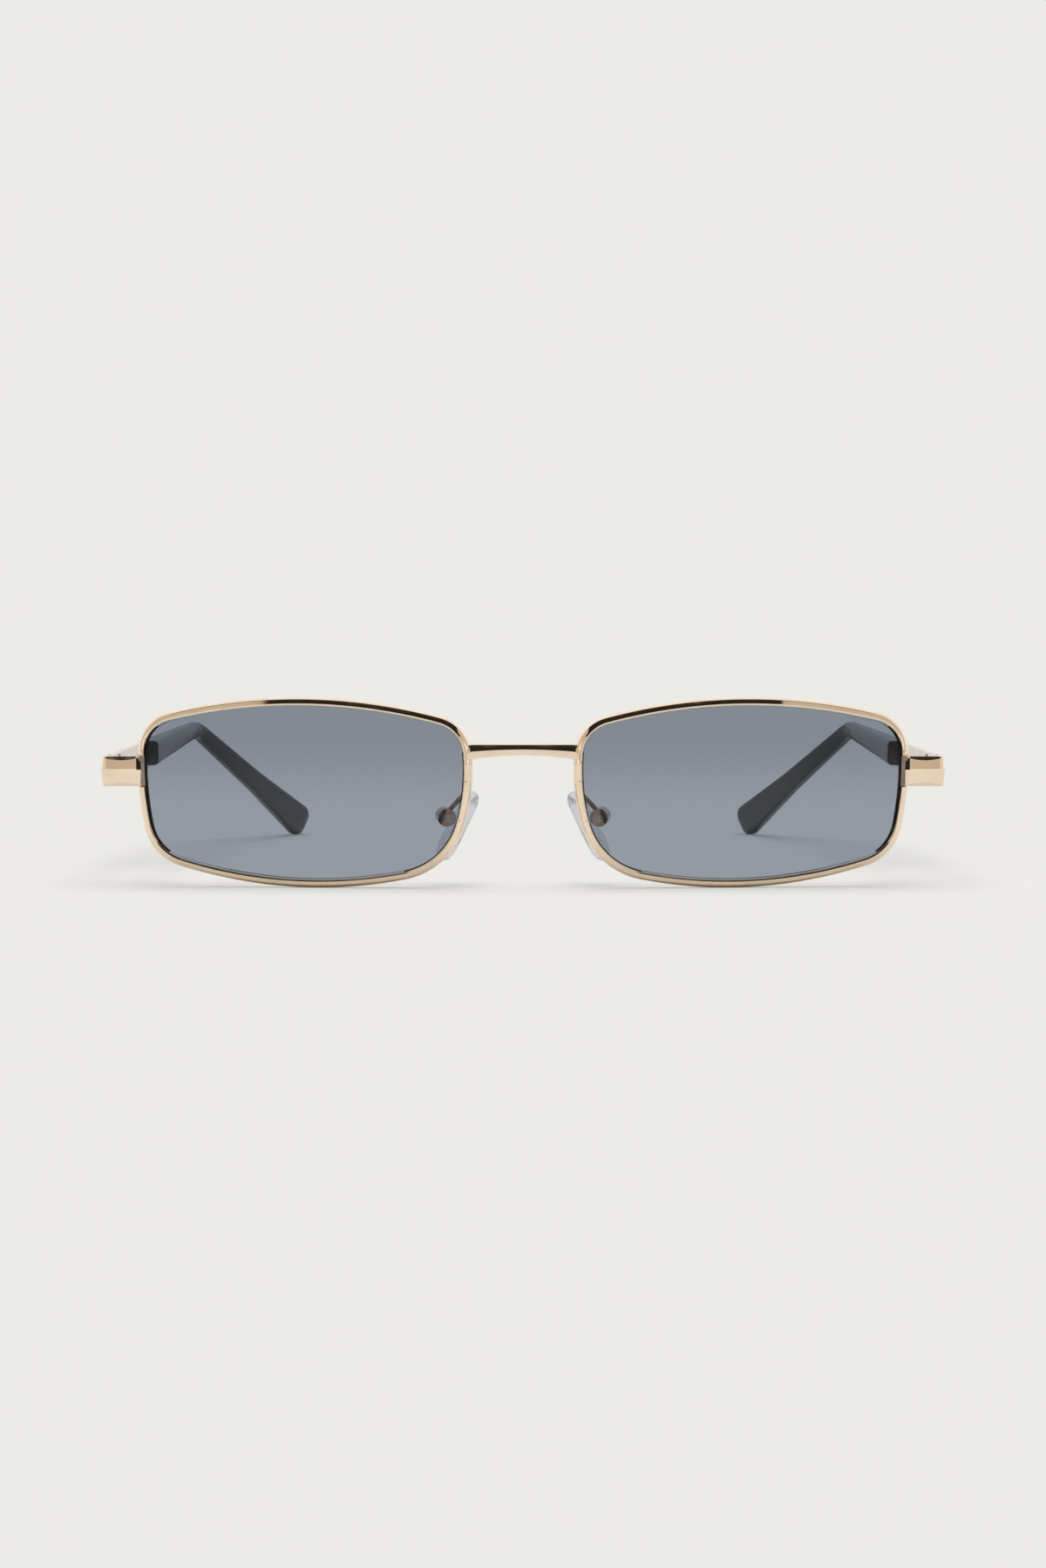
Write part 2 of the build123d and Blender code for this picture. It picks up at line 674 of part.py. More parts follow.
# Pad arm: a wire from the back of the rim's nasal side, back and then down to the top of the pad box
wire_root = eye_plane.from_local_coords(
    (eye_nasal - pad_arm_root_inset, pad_arm_root_height + eye_bottom, pad_arm_sink - rim_depth)
)
wire_turn = wire_root + Vector(-pad_arm_spread, pad_arm_reach, pad_arm_lift)
wire_end = pivot + pad_up * pad_arm_hold
with BuildPart() as right_pad_arm:
    with BuildLine() as wire_line:
        FilletPolyline(wire_root, wire_turn, wire_end, radius=pad_arm_bend_radius)
    wire = wire_line.wire()
    with BuildSketch(Plane(origin=wire @ 0, z_dir=wire % 0)):
        Circle(pad_arm_radius)
    sweep(path=wire)
    with BuildSketch(pivot_plane.offset(-box_half)):
        Circle(pad_box_radius)
    extrude(amount=2 * box_half, mode=Mode.SUBTRACT)
    add(right_rim.part, mode=Mode.SUBTRACT)
save_pair(right_pad_arm, "pad_arm")
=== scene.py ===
import math

import bpy
import bmesh
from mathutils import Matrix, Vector
from mathutils.bvhtree import BVHTree


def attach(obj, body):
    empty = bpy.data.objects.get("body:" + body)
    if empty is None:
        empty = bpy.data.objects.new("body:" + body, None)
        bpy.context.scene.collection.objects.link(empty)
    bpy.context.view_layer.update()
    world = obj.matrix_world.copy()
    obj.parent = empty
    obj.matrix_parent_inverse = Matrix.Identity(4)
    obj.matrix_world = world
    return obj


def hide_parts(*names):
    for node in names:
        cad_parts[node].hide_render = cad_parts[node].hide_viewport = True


# Narrow rectangle sunglasses with thin gold-plated rims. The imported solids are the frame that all
# else sits in: metres, the wearer's right at -X, the temples back along +Y.
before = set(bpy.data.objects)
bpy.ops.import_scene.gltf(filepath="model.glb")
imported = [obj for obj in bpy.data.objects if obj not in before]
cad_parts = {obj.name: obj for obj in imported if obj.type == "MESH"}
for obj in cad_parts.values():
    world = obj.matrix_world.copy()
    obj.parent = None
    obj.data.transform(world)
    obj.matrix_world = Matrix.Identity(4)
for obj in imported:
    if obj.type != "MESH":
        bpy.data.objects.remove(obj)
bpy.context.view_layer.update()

# The view that the picture was taken from: half a metre in front of the rims, a little above them
# and looking slightly down, through a long lens.
mm = 0.001
rims_front = -66.78 * mm
view_distance = 500 * mm
view_height = 43.9 * mm
view_drop = 3.022
lens_data = bpy.data.cameras.new("view")
lens_data.sensor_fit = "VERTICAL"
lens_data.sensor_height = 36
lens_data.lens = 69.19
lens_data.clip_start = 0.01
lens_data.clip_end = 50
view = bpy.data.objects.new("view", lens_data)
view.location = (0, rims_front - view_distance, view_height)
view.rotation_euler = (math.radians(90 - view_drop), 0, 0)
bpy.context.collection.objects.link(view)
bpy.context.scene.camera = view
bpy.context.scene.view_settings.view_transform = "Standard"


# Table top: one pale sheet of paper that runs out to the horizon and takes the soft contact shadows,
# which stay faint because the sheet glows a little towards the view. Polished metal and the lenses
# mirror it too, and there it dims towards the dark side of the room.
def new_material(name):
    """A material with an empty node tree and its output node."""
    material = bpy.data.materials.new(name)
    material.use_nodes = True
    material.node_tree.nodes.clear()
    output = material.node_tree.nodes.new("ShaderNodeOutputMaterial")
    return material, material.node_tree, output


def feed(tree, socket, value):
    """Links a socket to the value if that is a socket too, or else sets it."""
    if isinstance(value, bpy.types.NodeSocket):
        tree.links.new(value, socket)
    else:
        socket.default_value = value


def add_node(tree, kind, **inputs):
    """A node of this kind with its inputs set, by name or as linked sockets."""
    node = tree.nodes.new(kind)
    for name, value in inputs.items():
        feed(tree, node.inputs[name.replace("_", " ")], value)
    return node


def math_node(tree, operation, *values):
    """A math node's result for these values or sockets."""
    node = tree.nodes.new("ShaderNodeMath")
    node.operation = operation
    for socket, value in zip(node.inputs, values):
        feed(tree, socket, value)
    return node.outputs[0]


def edge_mask(tree, value, low, high):
    """0 below low and 1 above high, smooth between them. The other way round if low is above high."""
    ramp = tree.nodes.new("ShaderNodeMapRange")
    ramp.interpolation_type = "SMOOTHSTEP"
    for name, number in (("From Min", low), ("From Max", high), ("Value", value)):
        feed(tree, ramp.inputs[name], number)
    return ramp.outputs[0]


def mix_shaders(tree, share, first, second):
    """A shader that runs from the first node's to the second's with the share."""
    mix = tree.nodes.new("ShaderNodeMixShader")
    for socket, value in zip(mix.inputs, (share, first.outputs[0], second.outputs[0])):
        feed(tree, socket, value)
    return mix


def mesh_object(name, points, faces, smooth_angle=None):
    """An object from points in metres. Edges sharper than the angle, in degrees, stay sharp."""
    mesh = bpy.data.meshes.new(name)
    mesh.from_pydata(points, [], faces)
    mesh.validate()
    shape = bmesh.new()
    shape.from_mesh(mesh)
    bmesh.ops.recalc_face_normals(shape, faces=shape.faces)
    shape.to_mesh(mesh)
    shape.free()
    if smooth_angle is not None:
        mesh.shade_smooth()
        mesh.set_sharp_from_angle(angle=math.radians(smooth_angle))
    made = bpy.data.objects.new(name, mesh)
    bpy.context.collection.objects.link(made)
    return made


pale = (0.838, 0.829, 0.800)
dim = (0.36, 0.34, 0.30)
dim_from, dim_to = -0.27, -0.66
glow_share = 0.4
table_paper, tree, output = new_material("table_paper")
coords = add_node(tree, "ShaderNodeTexCoord")
fibre = add_node(tree, "ShaderNodeTexNoise", Vector=coords.outputs["Object"], Scale=900.0, Detail=3.0)
relief = add_node(tree, "ShaderNodeBump", Strength=0.02, Distance=0.0001, Height=fibre.outputs["Fac"])
paper = add_node(
    tree,
    "ShaderNodeBsdfPrincipled",
    Base_Color=(*pale, 1),
    Roughness=0.9,
    Specular_IOR_Level=0.0,
    Normal=relief.outputs[0],
)
dim_paper = add_node(tree, "ShaderNodeBsdfDiffuse", Color=(*dim, 1), Roughness=0.0)
place = add_node(tree, "ShaderNodeSeparateXYZ", Vector=coords.outputs["Object"])
paths = add_node(tree, "ShaderNodeLightPath")
dim_by_distance = edge_mask(tree, place.outputs["Y"], dim_from, dim_to)
dim_share = math_node(tree, "MULTIPLY", dim_by_distance, paths.outputs["Is Glossy Ray"])
glowing = add_node(tree, "ShaderNodeEmission", Color=(*pale, 1), Strength=1.0)
seen = math_node(tree, "MAXIMUM", paths.outputs["Is Camera Ray"], paths.outputs["Is Transmission Ray"])
mirrored = mix_shaders(tree, dim_share, paper, dim_paper)
lit = mix_shaders(tree, math_node(tree, "MULTIPLY", seen, glow_share), mirrored, glowing)
tree.links.new(lit.outputs[0], output.inputs[0])
table_reach = 6.0
corners = [(-1, -1), (1, -1), (1, 1), (-1, 1)]
table_points = [(x * table_reach, y * table_reach, 0) for x, y in corners]
table = mesh_object("table", table_points, [(0, 1, 2, 3)])
table.data.materials.append(table_paper)


# The studio round the table: white light, strongest straight overhead, for every matt surface, the
# pale backdrop that the view shows, and for polished metal the room in front of the table: a grey
# wall ahead, bright walls low at both sides, grey screens beyond them and a dark panel high up.
def mix_colours(tree, mask, first, second, blend_type="MIX"):
    """A colour that runs from first to second with the mask. Both are colours or sockets."""
    mix = tree.nodes.new("ShaderNodeMix")
    mix.data_type = "RGBA"
    mix.blend_type = blend_type
    feed(tree, mix.inputs[0], mask)
    for socket, value in ((mix.inputs[6], first), (mix.inputs[7], second)):
        feed(tree, socket, value if isinstance(value, bpy.types.NodeSocket) else (*value, 1))
    return mix.outputs[2]


def layered(tree, below, level, mask):
    """The level below, with another brightness laid over it where the mask is 1."""
    mix = tree.nodes.new("ShaderNodeMix")
    mix.data_type = "FLOAT"
    for socket, value in zip((mix.inputs[0], mix.inputs[2], mix.inputs[3]), (mask, below, level)):
        feed(tree, socket, value)
    return mix.outputs[0]


room = bpy.data.worlds.new("studio")
bpy.context.scene.world = room
room.use_nodes = True
tree = room.node_tree
tree.nodes.clear()
around = add_node(tree, "ShaderNodeTexCoord")
split = add_node(tree, "ShaderNodeSeparateXYZ", Vector=around.outputs["Generated"])
across, depth, up = split.outputs
forward = math_node(tree, "MAXIMUM", math_node(tree, "MULTIPLY", depth, -1.0), 0.001)
side = math_node(tree, "DIVIDE", math_node(tree, "ABSOLUTE", across), forward)
rise = math_node(tree, "DIVIDE", up, forward)

# Each part of the room: its brightness, and the limits that its edges fade between. Side and rise are
# slopes away from straight ahead, slant is one over the other, and up and depth the direction's own.
wall_level = 0.58
side_wall_level, side_wall_side, side_wall_rise = 0.95, (0.95, 1.15), (0.75, 0.45)
screen_level, screen_side, screen_up = 0.62, (2.2, 2.9), (0.75, 0.6)
panel_level, panel_slant, panel_rise = 0.02, (0.46, 0.44), (5.5, 7.0)
back_level, back_depth = 0.95, (-0.03, 0.0)
fill_level, overhead_level, overhead_up = 0.15, 3.78, (0.80, 0.95)
warm_grey, warm_below = (1.0, 0.90, 0.76), (0.84, 0.60)
slant = math_node(tree, "DIVIDE", side, rise)
in_side_wall = math_node(
    tree, "MULTIPLY", edge_mask(tree, side, *side_wall_side), edge_mask(tree, rise, *side_wall_rise)
)
in_screen = math_node(
    tree, "MULTIPLY", edge_mask(tree, side, *screen_side), edge_mask(tree, up, *screen_up)
)
in_panel = math_node(
    tree, "MULTIPLY", edge_mask(tree, slant, *panel_slant), edge_mask(tree, rise, *panel_rise)
)
in_back = edge_mask(tree, depth, *back_depth)
seen_by_metal = wall_level
for level, mask in (
    (side_wall_level, in_side_wall),
    (screen_level, in_screen),
    (panel_level, in_panel),
    (back_level, in_back),
):
    seen_by_metal = layered(tree, seen_by_metal, level, mask)
warmth = mix_colours(tree, edge_mask(tree, seen_by_metal, *warm_below), (1, 1, 1), warm_grey)
warm_room = mix_colours(tree, 1.0, warmth, seen_by_metal, "MULTIPLY")
matt_light = layered(tree, fill_level, overhead_level, edge_mask(tree, up, *overhead_up))
paths = add_node(tree, "ShaderNodeLightPath")
light = mix_colours(tree, paths.outputs["Is Glossy Ray"], matt_light, warm_room)
seen = math_node(tree, "MAXIMUM", paths.outputs["Is Camera Ray"], paths.outputs["Is Transmission Ray"])
shown = mix_colours(tree, seen, light, pale)
glow = add_node(tree, "ShaderNodeBackground", Color=shown, Strength=1.0)
output = tree.nodes.new("ShaderNodeOutputWorld")
tree.links.new(glow.outputs[0], output.inputs[0])

# Black card hung over the rims, in line with the dark panel: only polished surfaces show it, as the
# black band along the rims' upper edges. Each row is how far ahead of the rims, and half its width.
card_height = 112 * mm
card_widths = ((3, 62), (14, 63), (55, 68.4), (98, 76.4), (104, 78), (112, 100), (178, 104))
felt_black = (1.0, 0.85, 0.65)
card_black, tree, output = new_material("card_black")
paths = add_node(tree, "ShaderNodeLightPath")
unseen = add_node(tree, "ShaderNodeBsdfTransparent")
felt = add_node(tree, "ShaderNodeEmission", Color=(*felt_black, 1), Strength=panel_level)
by_gloss = mix_shaders(tree, paths.outputs["Is Glossy Ray"], unseen, felt)
tree.links.new(by_gloss.outputs[0], output.inputs[0])
card_points = [(half * mm, rims_front - ahead * mm, card_height) for ahead, half in card_widths]
card_points += [(-x, y, z) for x, y, z in reversed(card_points)]
card = mesh_object("card_over_rims", card_points, [tuple(range(len(card_points)))])
card.data.materials.append(card_black)

# Gold-plated metal of the rims, bridge and endpieces: bright pale gold with the soft unevenness of
# hand-polished plating, faint wiping marks and a duller film where fingers go. The closing blocks
# and hinge halves have it too.
marks = bpy.data.node_groups.new("handling marks", "ShaderNodeTree")
for name in ("Grain", "Film", "Depth"):
    marks.interface.new_socket(name, in_out="INPUT", socket_type="NodeSocketFloat")
marks.interface.new_socket("Mask", in_out="OUTPUT", socket_type="NodeSocketFloat")
marks.interface.new_socket("Normal", in_out="OUTPUT", socket_type="NodeSocketVector")
given = marks.nodes.new("NodeGroupInput").outputs
result = marks.nodes.new("NodeGroupOutput").inputs
spot = add_node(marks, "ShaderNodeTexCoord").outputs["Object"]
film = add_node(marks, "ShaderNodeTexNoise", Vector=spot, Scale=given["Film"], Detail=4.0)
fine = add_node(marks, "ShaderNodeTexNoise", Vector=spot, Scale=given["Grain"], Detail=2.0)
relief = add_node(
    marks, "ShaderNodeBump", Strength=given["Depth"], Distance=0.0001, Height=fine.outputs["Fac"]
)
marks.links.new(edge_mask(marks, film.outputs["Fac"], 0.42, 0.68), result["Mask"])
marks.links.new(relief.outputs[0], result["Normal"])


def marked(tree, grain, film, depth):
    """The handling marks placed in a material: their mask and their normal."""
    group = tree.nodes.new("ShaderNodeGroup")
    group.node_tree = marks
    for name, value in (("Grain", grain), ("Film", film), ("Depth", depth)):
        group.inputs[name].default_value = value
    return group.outputs["Mask"], group.outputs["Normal"]


def spread(tree, mask, low, high):
    """A value that runs from low to high with the mask."""
    ramp = tree.nodes.new("ShaderNodeMapRange")
    for name, value in (("To Min", low), ("To Max", high), ("Value", mask)):
        feed(tree, ramp.inputs[name], value)
    return ramp.outputs[0]


def handled_material(name, grain, film, depth, colours, roughness, **settings):
    """A material whose colour and roughness run between two values with the handling marks."""
    material, tree, output = new_material(name)
    mask, normal = marked(tree, grain, film, depth)
    surface = add_node(
        tree,
        "ShaderNodeBsdfPrincipled",
        Base_Color=mix_colours(tree, mask, *colours),
        Roughness=spread(tree, mask, *roughness),
        Normal=normal,
        **settings,
    )
    tree.links.new(surface.outputs[0], output.inputs[0])
    return material


def finish_pair(piece, material):
    """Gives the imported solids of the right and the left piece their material."""
    for hand in ("right_", "left_"):
        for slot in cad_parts[hand + piece].material_slots:
            slot.material = material


gold_plating = handled_material(
    "gold_plating",
    grain=4200.0,
    film=260.0,
    depth=0.008,
    colours=((0.95, 0.785, 0.615), (0.91, 0.745, 0.57)),
    roughness=(0.04, 0.10),
    Metallic=1.0,
)
for piece in ("closing_block_upper", "closing_block_lower", "front_hinge", "temple_hinge"):
    finish_pair(piece, gold_plating)

# Pad boxes and the wires that hold them: solder-coloured metal, darker and redder than the rims, and
# tumbled until the boxes' edges are round.
pad_metal = handled_material(
    "pad_metal",
    grain=1500.0,
    film=500.0,
    depth=0.01,
    colours=((0.46, 0.33, 0.28), (0.30, 0.21, 0.18)),
    roughness=(0.05, 0.12),
    Metallic=1.0,
)
for piece in ("pad_box", "pad_arm"):
    finish_pair(piece, pad_metal)
for hand in ("right_", "left_"):
    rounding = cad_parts[hand + "pad_box"].modifiers.new("worn edges", "BEVEL")
    rounding.width = 0.4 * mm
    rounding.segments = 4
    rounding.limit_method = "ANGLE"
    rounding.angle_limit = math.radians(50)

# Rims: a bent wire section that rounds off from its front ridge to the outer edge, with a chamfer
# round the lens and the lens groove inside. Each follows its imported solid's outer line, found by
# casting rays at it, and is cut once, behind the endpiece, where it is also filed flat and darker grey.
# Darker, duller grey for the filed flats behind the endpieces.
filed_flat_grey = handled_material(
    "filed_flat_grey",
    grain=3000.0,
    film=700.0,
    depth=0.05,
    colours=((0.36, 0.31, 0.28), (0.27, 0.23, 0.20)),
    roughness=(0.22, 0.38),
    Metallic=1.0,
)
eye_turn = math.radians(4)
eye_right = Vector((math.cos(eye_turn), -math.sin(eye_turn), 0))
eye_front = Vector((-math.sin(eye_turn), -math.cos(eye_turn), 0))
eye_up = Vector((0, 0, 1))
eye_origin = Vector((-8.5435 * mm, rims_front, 0.02 * mm))
eye_centre = eye_origin + eye_right * (-28 * mm) + eye_up * (15.9 * mm)
hinge_height = 19.42 * mm
rays = 720
ray_depth = 1.8 * mm
ray_start = 60 * mm
nearest_rim = 15 * mm
stations = 640
smoothing_rounds = 3


def eye_point(spot, depth):
    """The point at a spot in the right eye's plane, this far behind the rim's ridge."""
    return eye_centre + eye_right * spot.x + eye_up * spot.y - eye_front * depth


def outer_line(node):
    """Points round a rim's outer edge in its own plane, evenly spaced from the split, as (across, up)."""
    found = []
    corners = [node.matrix_world @ vertex.co for vertex in node.data.vertices]
    shell = BVHTree.FromPolygons(corners, [tuple(face.vertices) for face in node.data.polygons])
    for index in range(rays):
        turn = math.pi + 2 * math.pi * (index + 0.5) / rays
        ray = eye_right * math.cos(turn) + eye_up * math.sin(turn)
        point = shell.ray_cast(eye_centre - eye_front * ray_depth + ray * ray_start, -ray)[0]
        if point is not None:
            reach = point - eye_centre
            across, rise = reach.dot(eye_right), reach.dot(eye_up)
            if math.hypot(across, rise) > nearest_rim:
                found.append((across, rise))
    split_rise = hinge_height - eye_centre.z
    first = min(range(len(found)), key=lambda n: abs(found[n][1] - split_rise) + (found[n][0] > 0))
    found = found[first:] + found[: first + 1]
    lengths = [0.0]
    for before, after in zip(found, found[1:]):
        lengths.append(lengths[-1] + math.dist(before, after))
    line = []
    near = 0
    for index in range(stations + 1):
        target = lengths[-1] * index / stations
        while near < len(lengths) - 2 and lengths[near + 1] < target:
            near += 1
        share = (target - lengths[near]) / (lengths[near + 1] - lengths[near])
        line.append(tuple(a + share * (b - a) for a, b in zip(found[near], found[near + 1])))
    for _ in range(smoothing_rounds):
        inner = [
            tuple((before[k] + 2 * here[k] + after[k]) / 4 for k in (0, 1))
            for before, here, after in zip(line, line[1:], line[2:])
        ]
        line = [line[0], *inner, line[-1]]
    return line


def outward_at(line, index):
    """The direction straight out of a rim's outer line at one of its points."""
    before, after = line[max(index - 1, 0)], line[min(index + 1, len(line) - 1)]
    step = Vector((after[0] - before[0], after[1] - before[1])).normalized()
    outward = Vector((step.y, -step.x))
    return outward if outward.dot(Vector(line[index])) > 0 else -outward


def arc_steps(arcs):
    """Steps along and back on arcs given as radius, first tilt, last tilt and number of steps."""
    for radius, first, last, steps in arcs:
        for step in range(1, steps + 1):
            low, high = (math.radians(first + (last - first) * (step - k) / steps) for k in (1, 0))
            yield radius * (math.sin(high) - math.sin(low)), radius * (math.cos(low) - math.cos(high))


def skin(name, rings, smooth_angle):
    """An object skinned over closed rings of points, with a flat face at each end."""
    count = len(rings[0])
    points = [point for ring in rings for point in ring]
    faces = []
    for index in range(len(rings) - 1):
        for n in range(count):
            here, beside = index * count + n, index * count + (n + 1) % count
            faces.append((here, beside, beside + count, here + count))
    faces.append(tuple(reversed(range(count))))
    faces.append(tuple(range(len(points) - count, len(points))))
    return mesh_object(name, points, faces, smooth_angle)


def flipped(rings, flip):
    """The rings, mirrored for the left hand when flip is set."""
    return [[Vector((-p[0], p[1], p[2])) for p in ring] for ring in rings] if flip else rings


def stand_in(made, node, body):
    """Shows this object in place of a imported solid, moving with its body."""
    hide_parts(node)
    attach(made, body)


rim_ridge = 1.04
rim_depth = 2.2 * mm
front_arcs = ((2.02, 20, 42, 5), (1.15, 42, 90, 8))
back_corners = ((0.0, 2.08), (0.04, 2.16), (0.12, 2.2), (1.3, 2.2), (1.36, 2.14))
groove = ((1.36, 1.85), (0.86, 1.2), (1.36, 0.55), (1.36, 0.34))
lip = ((1.32, 0.28), (1.08, 0.02))
lip_from = 1.2 * mm
lip_front = 0.4 * mm
lip_slimming = 0.14 * mm
lip_chamfer = 0.12 * mm
filed_half = 2.5 * mm
filed_depth = 0.55 * mm
filed_across = 60 * mm
filed_back = 6.5 * mm
filed_facing = -0.8
solder_lumps = ((20.7 * mm, 0.08 * mm, 0.45 * mm), (10.8 * mm, 0.10 * mm, 0.4 * mm))
pits = (18.1 * mm, 14.8 * mm, 11.9 * mm, 8.7 * mm, 5.6 * mm)
pit_depth = 0.025 * mm
pit_width = 0.28 * mm


def rim_profile():
    """The rim's section as (in from the outer edge, back from the ridge), starting at the ridge."""
    points = [(rim_ridge, 0.0)]
    across, back = points[0]
    for along, behind in arc_steps(front_arcs):
        across -= along
        back += behind
        points.append((max(across, 0.0), back))
    return [(inward * mm, depth * mm) for inward, depth in (*points, *back_corners, *groove, *lip)]


def solder_swell(rise, across):
    """How far the rim's front stands out at a height on its nasal side, by solder, or sinks in a pit."""
    if across < 0:
        return 0.0
    height = eye_centre.z + rise
    swell = sum(tall * math.exp(-(((height - where) / wide) ** 2)) for where, tall, wide in solder_lumps)
    return swell - sum(pit_depth * math.exp(-(((height - where) / pit_width) ** 2)) for where in pits)


def rim_object(name, line, flip):
    """A rim round the right eye's outer line, mirrored for the left hand."""
    section = rim_profile()
    rings = []
    for index, (across, rise) in enumerate(line):
        outward = outward_at(line, index)
        filed = across < 0 and abs(eye_centre.z + rise - hinge_height) < filed_half
        ring = []
        for inward, depth in section:
            if inward > lip_from:
                inward -= lip_slimming * max(0.0, -outward.x) ** 4
                if depth < lip_front:
                    depth -= lip_chamfer * max(0.0, outward.y) ** 2
            here = max(depth, filed_depth) if filed else depth
            if depth < rim_depth / 2:
                here -= solder_swell(rise, across)
            ring.append(eye_point(Vector((across, rise)) - outward * inward, here))
        rings.append(ring)
    made = skin(name, flipped(rings, flip), smooth_angle=32)
    made.data.materials.append(gold_plating)
    made.data.materials.append(filed_flat_grey)
    for face in made.data.polygons:
        level = abs(face.center.z - hinge_height) < filed_half
        flat = face.center.y - rims_front < filed_back
        at_side = abs(face.center.x) > filed_across
        if level and flat and at_side and face.normal.y < filed_facing:
            face.material_index = 1
    return made


bpy.context.view_layer.update()
eye_line = outer_line(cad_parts["right_rim"])
for hand, flip in (("right", False), ("left", True)):
    stand_in(rim_object(hand + "_rim_wire", eye_line, flip), hand + "_rim", "front")

# Bridge: a short gold-plated bar, arched underneath and bowed forward, with an upper front face that
# leans back, a softly rounded upper edge, and ends that lap over the rims they are soldered to.
bridge_half = 9.275
bridge_stations = 41
bridge_top = 24.25
bridge_tall, bridge_tall_more = 1.95, 0.8
bridge_front, bridge_bow = -0.08, 0.4
bridge_deep, bridge_deep_more = 2.0, 0.2
bridge_rounding = 0.9
band_middle, band_more, band_foot, foot_share = 0.74, 0.44, 0.4, 0.1
band_low, band_high = 18, 45
edge = 0.15
rings = []
for index in range(bridge_stations):
    across = 2 * index / (bridge_stations - 1) - 1
    bow = 1 - across**2
    foot = max(0.0, abs(across) - (1 - foot_share)) / foot_share
    bottom = bridge_top - (bridge_tall + bridge_tall_more * across**2)
    front = bridge_front - bridge_bow * bow
    back = front + bridge_deep + bridge_deep_more * bow
    band = band_middle + band_more * across**2 + band_foot * foot**2
    bend = band / (math.sin(math.radians(band_high)) - math.sin(math.radians(band_low)))
    depth = front
    height = bridge_top - bridge_rounding * (1 - math.sin(math.radians(band_high))) - band
    section = [(depth + 0.02, bottom + 0.06), (depth, height)]
    for along, behind in arc_steps(((bend, band_low, band_high, 5), (bridge_rounding, band_high, 90, 8))):
        depth += behind
        height += along
        section.append((depth, height))
    section += [(back - edge, bridge_top), (back, bridge_top - edge), (back, bottom + edge)]
    section += [(back - edge, bottom), (front + 0.1, bottom)]
    rings.append(
        [(across * bridge_half * mm, rims_front + depth * mm, height * mm) for depth, height in section]
    )
bridge = skin("bridge_bar", rings, smooth_angle=16)
bridge.data.materials.append(gold_plating)
stand_in(bridge, "bridge", "front")

# Endpieces: a gold-plated plate that bows forward between the rim and its rounded outer corner, then
# turns back to the hinge. Its face is also crowned from top to bottom, with a soft ridge over its
# middle, and flats filed along its top and bottom edges come out widest where it bows forward most.
end_outer = 70.758
end_front = -62.654
end_crown = 0.55
end_root = -64.008
end_thick = 1.0
end_corner = 1.3
end_stop = -56.114
end_bevel = 0.65
end_half_tall = 2.5
face_crown = 0.026
ridge_rise = 0.47
ridge_slope = 0.05
ridge_half = 0.03
facet_reach = 0.72
facet_lean = math.tan(math.radians(20))
facet_low = 0.25
facet_rows = (0.2, 0.26, 0.35)
facet_step = 0.004
bow_steps = 22
corner_steps = 10
low_rows, high_rows = 9, 8


def end_path():
    """Points along the outer face seen from above, as (x, y) in millimetres, with their normals."""
    chord = end_outer + end_root
    radius = (chord**2 / 4 + end_crown**2) / (2 * end_crown)
    middle = Vector(((end_root - end_outer) / 2, end_front - end_crown + radius))
    front_run = chord - end_corner
    facet_end = facet_reach / front_run
    bow_start = facet_end + facet_step
    shares = [0, facet_end / 2, facet_end, bow_start]
    shares += [bow_start + (1 - bow_start) * n / bow_steps for n in range(1, bow_steps + 1)]
    path = []
    for share in shares:
        x = end_root - front_run * share
        y = middle.y - math.sqrt(radius**2 - (x - middle.x) ** 2)
        path.append((Vector((x, y)), (Vector((x, y)) - middle).normalized()))
    last_point, last_normal = path[-1]
    hub = last_point - last_normal * end_corner
    hub.x = -end_outer + end_corner
    start = math.atan2(last_normal.y, last_normal.x)
    for index in range(1, corner_steps + 1):
        turn = start + (-math.pi - start) * index / corner_steps
        normal = Vector((math.cos(turn), math.sin(turn)))
        path.append((hub + normal * end_corner, normal))
    path.append((Vector((-end_outer, end_stop)), Vector((-1, 0))))
    return path


def end_face(rise):
    """How far the endpiece's face stands back at a height: crowned, with a soft ridge over its middle."""
    return -face_crown * rise**2 - ridge_slope * abs(rise - ridge_rise)


def endpiece_object(name, flip):
    """An endpiece, mirrored for the left hand."""
    rings = []
    path = end_path()
    facet_back = path[2][0].y
    for place, normal in path:
        flat = max(0.0, end_bevel - (place.y - (end_front - end_crown)))
        beside_rim = place.x > end_root - facet_reach - 0.001 and normal.y < -0.5
        half_face = end_half_tall - flat
        above, below = ridge_rise + ridge_half, ridge_rise - ridge_half
        rises = [-half_face + (half_face + facet_rows[0]) * n / low_rows for n in range(low_rows + 1)]
        rises += [*facet_rows[1:], below]
        rises += [above + (half_face - above) * n / high_rows for n in range(high_rows + 1)]
        ring = []
        for rise in rises:
            out = end_face(rise)
            if beside_rim and rise > facet_low:
                out = (place.y - facet_back - (rise - facet_low) * facet_lean) / -normal.y
            ring.append((out, rise))
        top_out = min(end_face(half_face) - flat, ring[-1][0])
        ring = [(end_face(-half_face) - flat, -end_half_tall)] + ring + [(top_out, end_half_tall)]
        ring += [(-end_thick, end_half_tall), (-end_thick, -end_half_tall)]
        spots = [(place + normal * out, rise) for out, rise in ring]
        rings.append([(spot.x * mm, spot.y * mm, hinge_height + rise * mm) for spot, rise in spots])
    made = skin(name, flipped(rings, flip), smooth_angle=30)
    made.data.materials.append(gold_plating)
    rounding = made.modifiers.new("rounded edges", "BEVEL")
    rounding.width = 0.1 * mm
    rounding.segments = 3
    rounding.limit_method = "ANGLE"
    rounding.angle_limit = math.radians(25)
    rounding.harden_normals = True
    return made


for hand, flip in (("right", False), ("left", True)):
    stand_in(endpiece_object(hand + "_endpiece_plate", flip), hand + "_endpiece", "front")

